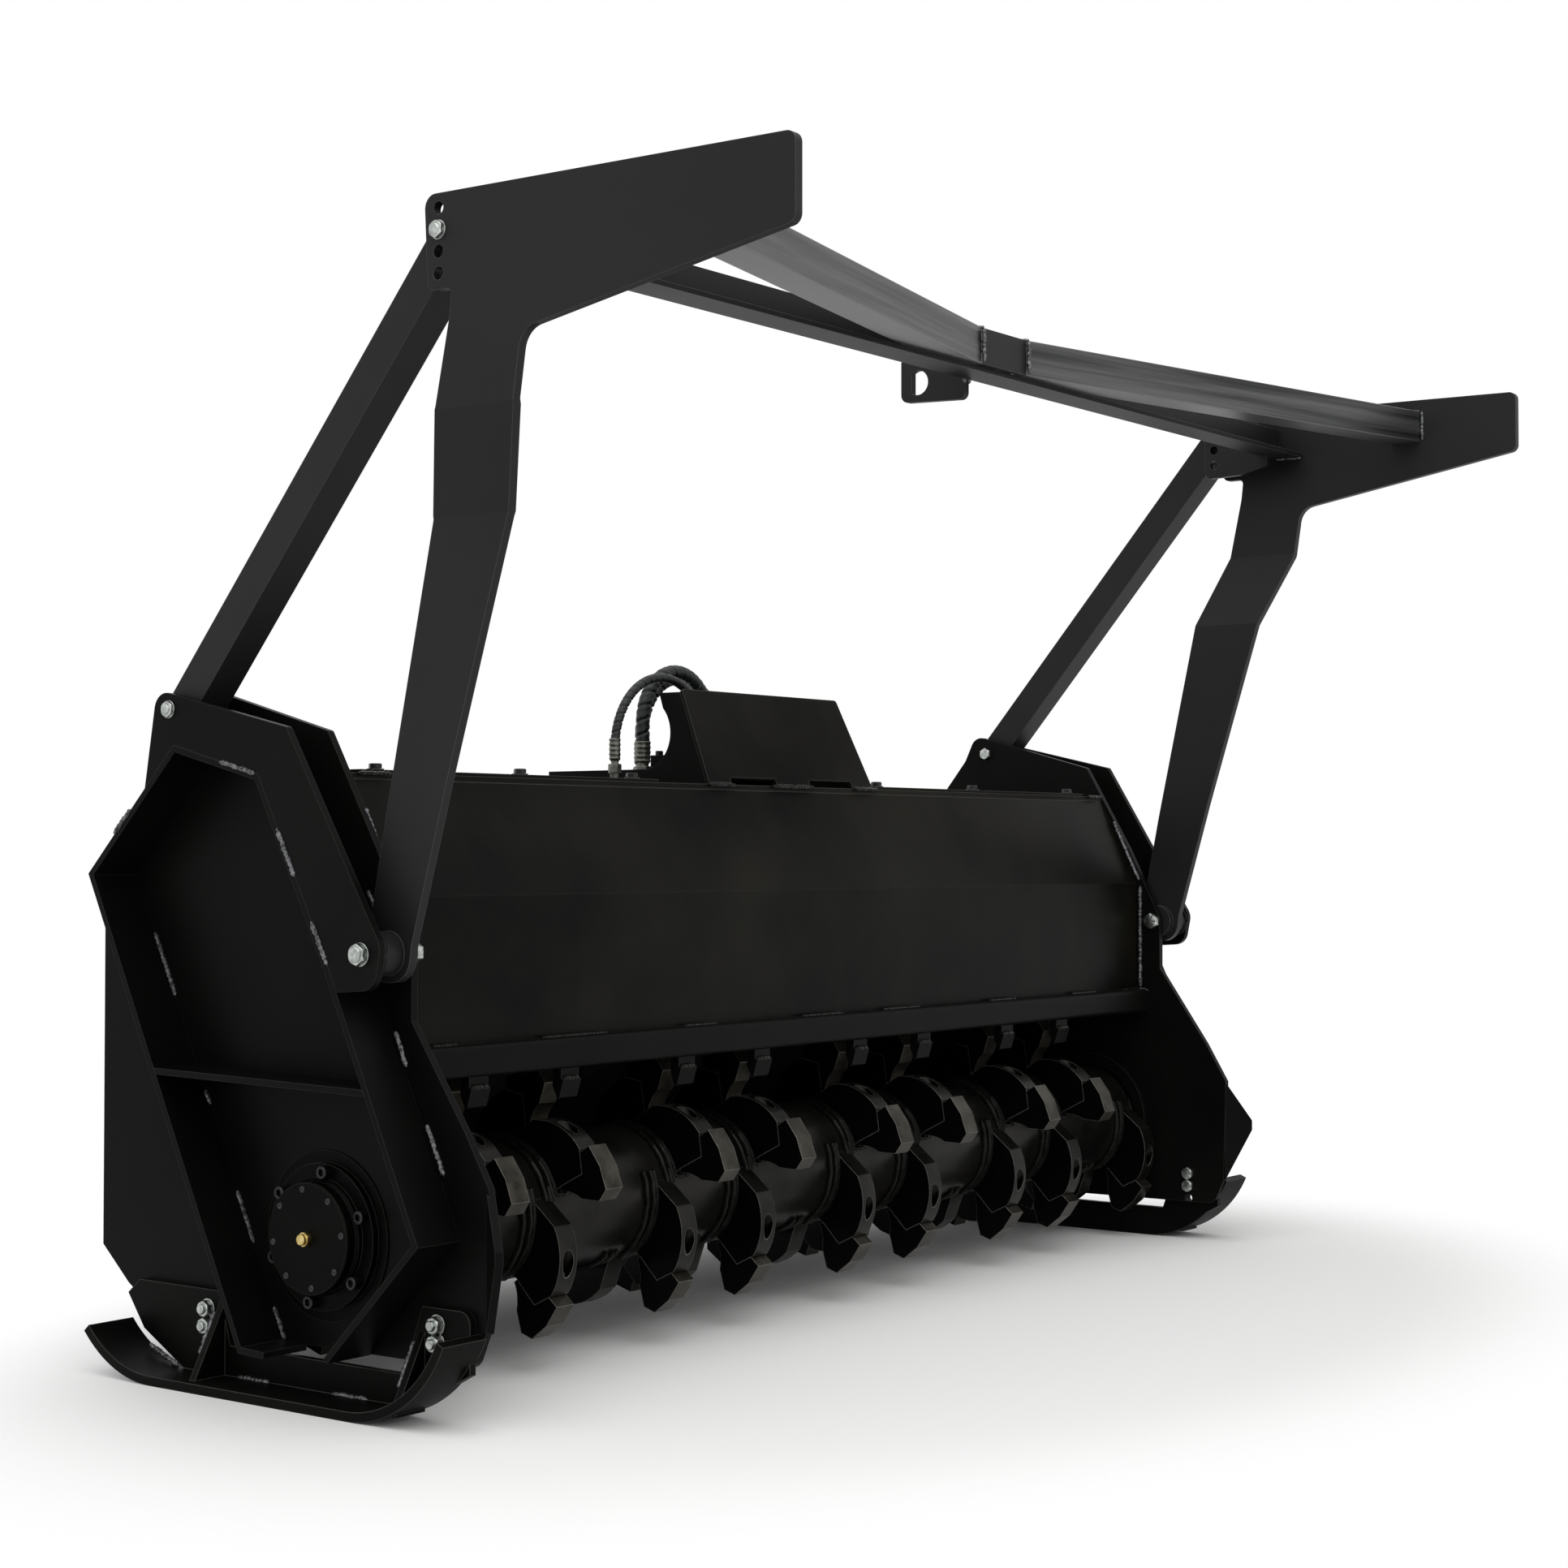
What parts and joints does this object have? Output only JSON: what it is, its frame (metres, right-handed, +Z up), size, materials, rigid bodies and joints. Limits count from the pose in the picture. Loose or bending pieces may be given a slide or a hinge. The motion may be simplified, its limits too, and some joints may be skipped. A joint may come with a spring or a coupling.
{
  "type": "forestry mulcher attachment",
  "caption": "Drum forestry mulcher head for a skid-steer loader, with hooked rotor teeth, skid shoes, hood and an adjustable push frame on struts.",
  "frame": {"origin": "on the ground under the middle of the whole head's box", "axes": "+X along the rotor, to the right seen from the front; the front faces -Y; +Z up"},
  "size_m": [2.015, 1.25, 1.435],
  "materials": {
    "black_paint": "satin powder coat",
    "rotor_paint": "glossy black",
    "tooth_steel": "ground wear edges",
    "bare_tube": "mill finish",
    "zinc": "zinc plated",
    "cast_black": "painted",
    "hose_rubber": "matt",
    "skid_paint": "satin, worn sole"
  },
  "bodies": {
    "head": {"end_plate_left": "black_paint", "end_plate_right": "black_paint", "bracket_left": "black_paint", "bracket_right": "black_paint", "pocket_rim_left": "black_paint", "pocket_rim_right": "black_paint", "shelf_left": "black_paint", "shelf_right": "black_paint", "hood": "black_paint", "front_bar": "black_paint", "deck": "black_paint", "back_plate": "black_paint", "anvils": "black_paint", "seal_rings": "black_paint", "bearing_housing": "cast_black", "drive_motor": "cast_black", "skid_left": "skid_paint", "skid_right": "skid_paint", "front_pivot_pins": "zinc", "strut_lower_bolts": "zinc", "rotor_shroud": "black_paint", "deck_covers": "black_paint", "guard_front": "black_paint", "guard_sides": "black_paint", "manifold": "cast_black", "drain_hose": "hose_rubber", "feed_hose": "hose_rubber", "return_hose": "hose_rubber", "hose_fittings": "zinc", "coupler_plate": "black_paint", "coupler_ribs": "black_paint"},
    "rotor": {"rotor": "rotor_paint", "teeth": "tooth_steel"},
    "push_frame": {"arm_left": "black_paint", "arm_right": "black_paint", "rear_angle_bar": "bare_tube", "diagonal_left": "bare_tube", "diagonal_right": "bare_tube", "centre_plate": "bare_tube", "lift_lug": "black_paint", "strut_lug_left": "black_paint", "strut_lug_right": "black_paint", "strut_upper_bolts": "zinc"},
    "strut_left": {"strut_left": "black_paint"},
    "strut_right": {"strut_right": "black_paint"}
  },
  "joints": [
    {"name": "rotor_spin", "type": "hinge", "parent": "head", "child": "rotor", "pos_m": [0, 0.141, 0.201], "axis": [1, 0, 0], "continuous": true},
    {"name": "push_frame_tilt", "type": "hinge", "parent": "head", "child": "push_frame", "pos_m": [0, 0.0132, 0.55], "axis": [1, 0, 0], "range_deg": [-2.5, 4.8]},
    {"name": "strut_swing_left", "type": "hinge", "parent": "head", "child": "strut_left", "pos_m": [-0.9545, 0.3572, 0.8504], "axis": [1, 0, 0], "range_deg": [-3.9, 7.4]},
    {"name": "strut_swing_right", "type": "hinge", "parent": "head", "child": "strut_right", "pos_m": [0.9545, 0.3572, 0.8504], "axis": [1, 0, 0], "range_deg": [-3.9, 7.4]}
  ],
  "couplings": [
    {"joint": "strut_swing_left", "follows": "push_frame_tilt", "ratio": 1.53},
    {"joint": "strut_swing_right", "follows": "push_frame_tilt", "ratio": 1.53}
  ]
}
